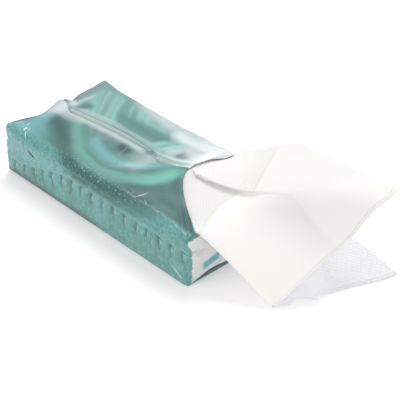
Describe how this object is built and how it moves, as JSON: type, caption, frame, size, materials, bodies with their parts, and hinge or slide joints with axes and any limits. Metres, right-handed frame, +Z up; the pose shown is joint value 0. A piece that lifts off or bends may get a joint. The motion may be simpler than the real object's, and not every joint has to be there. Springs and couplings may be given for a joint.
{
  "type": "pocket tissue pack",
  "caption": "Opened pocket pack of paper tissues: glossy printed film wrap with gathered sides, folded tissues inside and one tissue drawn halfway out of the mouth.",
  "frame": {"origin": "centre of the pack's flat bottom", "axes": "+X along the pack, out of its open end; +Y to its far long side; +Z up"},
  "size_m": [0.1581, 0.0639, 0.0408],
  "materials": {
    "film": "gloss",
    "paper": "matte"
  },
  "bodies": {
    "root": {"film_wrap": "film", "tissue_drawn": "paper", "tissue_1": "paper", "tissue_2": "paper", "tissue_3": "paper", "tissue_4": "paper", "tissue_5": "paper", "tissue_6": "paper", "tissue_7": "paper", "tissue_8": "paper", "tissue_9": "paper"}
  },
  "joints": []
}
